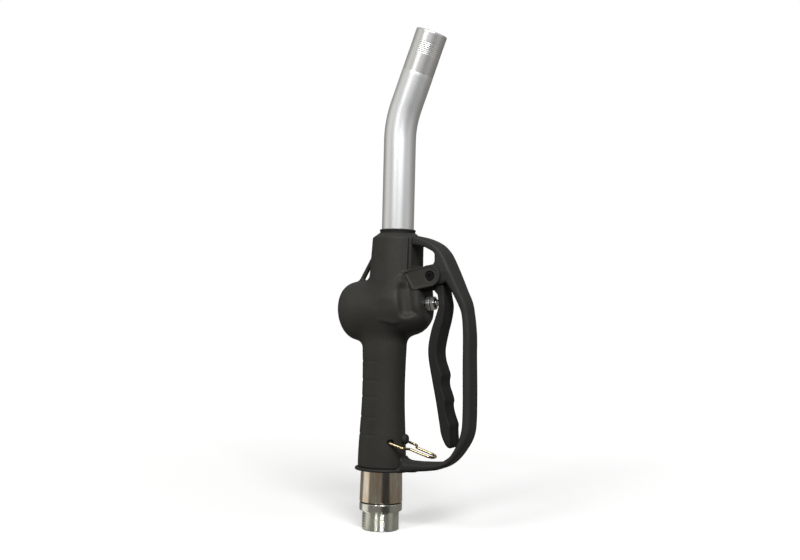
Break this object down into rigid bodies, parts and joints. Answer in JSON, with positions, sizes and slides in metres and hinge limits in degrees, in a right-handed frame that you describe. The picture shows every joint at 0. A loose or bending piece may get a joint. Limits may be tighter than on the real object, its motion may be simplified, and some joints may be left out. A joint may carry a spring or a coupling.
{
  "type": "fuel nozzle",
  "caption": "Hand-held fuel dispensing nozzle: oval grip, valve drum, bent tubular spout, squeeze lever inside a bow guard, hold-open wire latch and a swivelling threaded hose inlet.",
  "frame": {"origin": "centre of the inlet thread's end face, on the axis of the grip and hose swivel", "axes": "+Z from the hose inlet up along the grip towards the spout, +X towards the lever and its guard, +Y across the nozzle, which is symmetric about Y = 0"},
  "size_m": [0.1291, 0.0538, 0.448],
  "materials": {
    "body_coat": "charcoal powder coat on cast aluminium, fine texture, matte",
    "lever_coat": "charcoal powder coat, matte",
    "guard_plastic": "charcoal glass-filled plastic, matte",
    "zinc_steel": "turned steel, bright zinc plated",
    "sleeve_steel": "turned steel, nickel plated, glossy",
    "bearing_steel": "polished steel balls",
    "polished_steel": "ground stainless steel",
    "spring_steel": "drawn spring wire",
    "spout_aluminium": "satin bead-blasted tube, turned bright at the tip",
    "nut_chrome": "chromed hexagon nuts",
    "valve_brass": "turned brass",
    "brass_mesh": "drilled brass cup",
    "latch_zinc": "spring wire, yellow zinc plated",
    "dark_screw": "black oxide steel",
    "vane_plastic": "moulded acetal",
    "black_rubber": "nitrile rubber"
  },
  "bodies": {
    "inlet": {"swivel_adapter": "zinc_steel", "swivel_balls": "bearing_steel", "swivel_seal": "black_rubber", "wiper_ring": "black_rubber", "inlet_strainer": "brass_mesh"},
    "nozzle": {"body_casting": "body_coat", "swivel_sleeve": "sleeve_steel", "ball_plug": "zinc_steel", "guard": "guard_plastic", "spout_tube": "spout_aluminium", "spout_collar": "lever_coat", "spout_seal": "black_rubber", "flow_straightener": "vane_plastic", "valve_cap": "body_coat", "cap_seal": "black_rubber", "main_spring": "spring_steel", "seat_ring": "valve_brass", "gland_packing": "black_rubber", "gland_nut": "nut_chrome", "lock_nut": "nut_chrome", "pivot_screw": "dark_screw", "pivot_nut": "dark_screw", "trigger_stop": "black_rubber", "latch_eyelets": "dark_screw"},
    "trigger": {"trigger_lever": "lever_coat", "trigger_bush": "valve_brass", "stem_pad": "polished_steel"},
    "valve": {"valve_stem": "polished_steel", "poppet": "valve_brass", "poppet_seal": "black_rubber", "poppet_nut": "valve_brass"},
    "latch": {"latch_wire": "latch_zinc"}
  },
  "joints": [
    {"name": "swivel_spin", "type": "hinge", "parent": "inlet", "child": "nozzle", "pos_m": [0, 0, 0.0375], "axis": [0, 0, 1], "continuous": true},
    {"name": "trigger_pivot", "type": "hinge", "parent": "nozzle", "child": "trigger", "pos_m": [0.0494, 0, 0.2254], "axis": [0, 1, 0], "range_deg": [0, 11], "stiffness_Nm_per_rad": 2.7, "springref_deg": -20.05},
    {"name": "valve_slide", "type": "slide", "parent": "nozzle", "child": "valve", "axis": [-0.9936, 0, -0.1132], "range_m": [0, 0.0045], "deforming": ["main_spring"]},
    {"name": "latch_pivot", "type": "hinge", "parent": "nozzle", "child": "latch", "pos_m": [0.0141, 0, 0.0788], "axis": [0, -1, 0], "range_deg": [0, 84]}
  ],
  "couplings": [
    {"joint": "valve_slide", "follows": "trigger_pivot", "m_per_rad": 0.0234}
  ]
}
